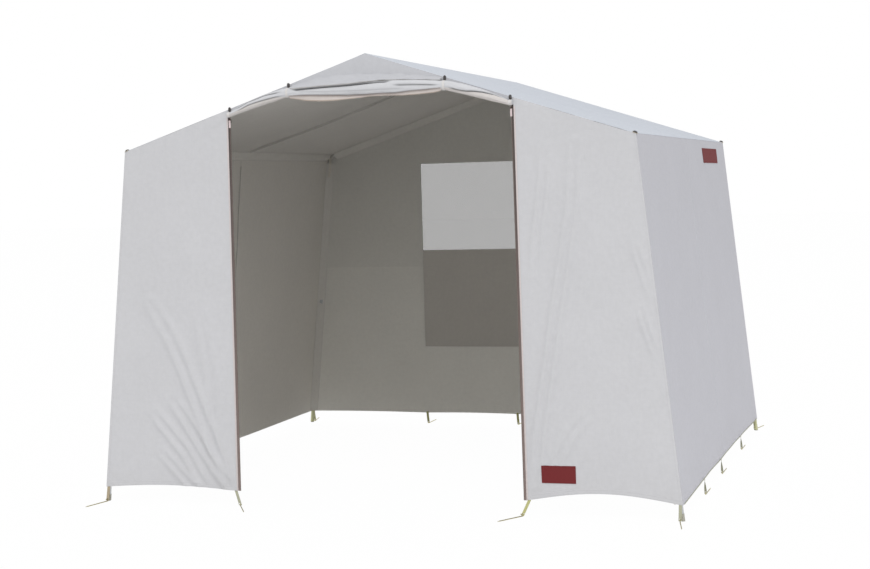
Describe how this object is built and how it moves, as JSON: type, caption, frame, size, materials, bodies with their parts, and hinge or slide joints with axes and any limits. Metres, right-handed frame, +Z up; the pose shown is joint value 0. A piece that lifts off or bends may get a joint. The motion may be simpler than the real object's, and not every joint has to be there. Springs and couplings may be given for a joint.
{
  "type": "kitchen tent",
  "caption": "Ridge-roofed canvas kitchen tent with splayed side walls, a rolled-up front door, a rear window with a blind, and a steel tube frame on telescopic legs.",
  "frame": {"origin": "on the ground at the middle of the plan, which is the bottom centre of the bounding box", "axes": "+Z up, -Y out of the door, +X to the right when facing the door from outside"},
  "size_m": [3.0436, 3.1898, 2.232],
  "materials": {
    "canvas": "woven",
    "window_film": "translucent",
    "zip_tape": "woven",
    "zip_metal": "satin",
    "pull_cord": "braided",
    "webbing": "woven",
    "toggle_plastic": "moulded",
    "galvanised_steel": "galvanised",
    "moulded_nylon": "moulded",
    "foot_rubber": "moulded"
  },
  "bodies": {
    "base": {"door_left_peg": "galvanised_steel", "door_right_peg": "galvanised_steel", "door_roll": "canvas", "front_apex_connector": "moulded_nylon", "front_left_eave_connector": "moulded_nylon", "front_left_peg": "galvanised_steel", "front_left_rafter": "galvanised_steel", "front_left_upper_leg": "galvanised_steel", "front_left_wall": "canvas", "front_right_eave_connector": "moulded_nylon", "front_right_peg": "galvanised_steel", "front_right_rafter": "galvanised_steel", "front_right_upper_leg": "galvanised_steel", "front_right_wall": "canvas", "gable_top": "canvas", "left_eave_pole": "galvanised_steel", "left_roof": "canvas", "left_wall": "canvas", "rear_apex_connector": "moulded_nylon", "rear_left_eave_connector": "moulded_nylon", "rear_left_peg": "galvanised_steel", "rear_left_rafter": "galvanised_steel", "rear_left_upper_leg": "galvanised_steel", "rear_right_eave_connector": "moulded_nylon", "rear_right_peg": "galvanised_steel", "rear_right_rafter": "galvanised_steel", "rear_right_upper_leg": "galvanised_steel", "rear_wall": "canvas", "ridge_pole": "galvanised_steel", "right_eave_pole": "galvanised_steel", "right_roof": "canvas", "right_wall": "canvas", "tie_strap_inner_left": "webbing", "tie_strap_inner_right": "webbing", "tie_strap_outer_left": "webbing", "tie_strap_outer_right": "webbing", "window_pane": "window_film", "zip_tape_left": "zip_tape", "zip_tape_right": "zip_tape"},
    "front_left_lower_leg": {"front_left_lower_leg": "galvanised_steel", "front_left_foot": "foot_rubber"},
    "front_left_wing_screw": {"front_left_wing_screw": "galvanised_steel"},
    "front_right_lower_leg": {"front_right_lower_leg": "galvanised_steel", "front_right_foot": "foot_rubber"},
    "front_right_wing_screw": {"front_right_wing_screw": "galvanised_steel"},
    "rear_left_lower_leg": {"rear_left_lower_leg": "galvanised_steel", "rear_left_foot": "foot_rubber"},
    "rear_left_wing_screw": {"rear_left_wing_screw": "galvanised_steel"},
    "rear_right_lower_leg": {"rear_right_lower_leg": "galvanised_steel", "rear_right_foot": "foot_rubber"},
    "rear_right_wing_screw": {"rear_right_wing_screw": "galvanised_steel"},
    "window_blind": {"window_blind": "canvas"},
    "zip_slider_left": {"zip_slider_left": "zip_metal"},
    "zip_pull_left": {"zip_pull_left": "pull_cord"},
    "zip_slider_right": {"zip_slider_right": "zip_metal"},
    "zip_pull_right": {"zip_pull_right": "pull_cord"},
    "toggle_outer_left": {"toggle_outer_left": "toggle_plastic"},
    "toggle_inner_left": {"toggle_inner_left": "toggle_plastic"},
    "toggle_inner_right": {"toggle_inner_right": "toggle_plastic"},
    "toggle_outer_right": {"toggle_outer_right": "toggle_plastic"}
  },
  "joints": [
    {"name": "front_left_leg_length", "type": "slide", "parent": "base", "child": "front_left_lower_leg", "axis": [-0.1061, 0, -0.9944], "range_m": [-0.1, 0.15]},
    {"name": "front_left_clamp", "type": "hinge", "parent": "base", "child": "front_left_wing_screw", "pos_m": [-1.40666, -1.4, 0.82283], "axis": [0.7031, 0.7071, -0.075], "range_deg": [0, 540]},
    {"name": "front_right_leg_length", "type": "slide", "parent": "base", "child": "front_right_lower_leg", "axis": [0.1061, 0, -0.9944], "range_m": [-0.1, 0.15]},
    {"name": "front_right_clamp", "type": "hinge", "parent": "base", "child": "front_right_wing_screw", "pos_m": [1.40666, -1.4, 0.82283], "axis": [-0.7031, 0.7071, -0.075], "range_deg": [0, 540]},
    {"name": "rear_left_leg_length", "type": "slide", "parent": "base", "child": "rear_left_lower_leg", "axis": [-0.1061, 0, -0.9944], "range_m": [-0.1, 0.15]},
    {"name": "rear_left_clamp", "type": "hinge", "parent": "base", "child": "rear_left_wing_screw", "pos_m": [-1.40666, 1.4, 0.82283], "axis": [0.7031, -0.7071, -0.075], "range_deg": [0, 540]},
    {"name": "rear_right_leg_length", "type": "slide", "parent": "base", "child": "rear_right_lower_leg", "axis": [0.1061, 0, -0.9944], "range_m": [-0.1, 0.15]},
    {"name": "rear_right_clamp", "type": "hinge", "parent": "base", "child": "rear_right_wing_screw", "pos_m": [1.40666, 1.4, 0.82283], "axis": [-0.7031, -0.7071, -0.075], "range_deg": [0, 540]},
    {"name": "blind_hinge", "type": "hinge", "parent": "base", "child": "window_blind", "pos_m": [0, 1.4069, 1.154], "axis": [-1, 0, 0], "range_deg": [0, 175]},
    {"name": "zip_left_travel", "type": "slide", "parent": "base", "child": "zip_slider_left", "axis": [-0.0084, 0, -1], "range_m": [0, 1.8]},
    {"name": "zip_pull_left_lift", "type": "hinge", "parent": "zip_slider_left", "child": "zip_pull_left", "pos_m": [-0.72448, -1.417, 1.93321], "axis": [-1, 0, 0], "range_deg": [0, 110]},
    {"name": "zip_right_travel", "type": "slide", "parent": "base", "child": "zip_slider_right", "axis": [0.0084, 0, -1], "range_m": [0, 1.8]},
    {"name": "zip_pull_right_lift", "type": "hinge", "parent": "zip_slider_right", "child": "zip_pull_right", "pos_m": [0.72448, -1.417, 1.93321], "axis": [-1, 0, 0], "range_deg": [0, 110]},
    {"name": "toggle_outer_left_turn", "type": "hinge", "parent": "base", "child": "toggle_outer_left", "pos_m": [-0.722, -1.4183, 1.98981], "axis": [0, 1, 0], "range_deg": [-90, 90]},
    {"name": "toggle_inner_left_turn", "type": "hinge", "parent": "base", "child": "toggle_inner_left", "pos_m": [-0.402, -1.4183, 2.09494], "axis": [0, 1, 0], "range_deg": [-90, 90]},
    {"name": "toggle_inner_right_turn", "type": "hinge", "parent": "base", "child": "toggle_inner_right", "pos_m": [0.402, -1.4183, 2.09494], "axis": [0, 1, 0], "range_deg": [-90, 90]},
    {"name": "toggle_outer_right_turn", "type": "hinge", "parent": "base", "child": "toggle_outer_right", "pos_m": [0.722, -1.4183, 1.98981], "axis": [0, 1, 0], "range_deg": [-90, 90]}
  ]
}
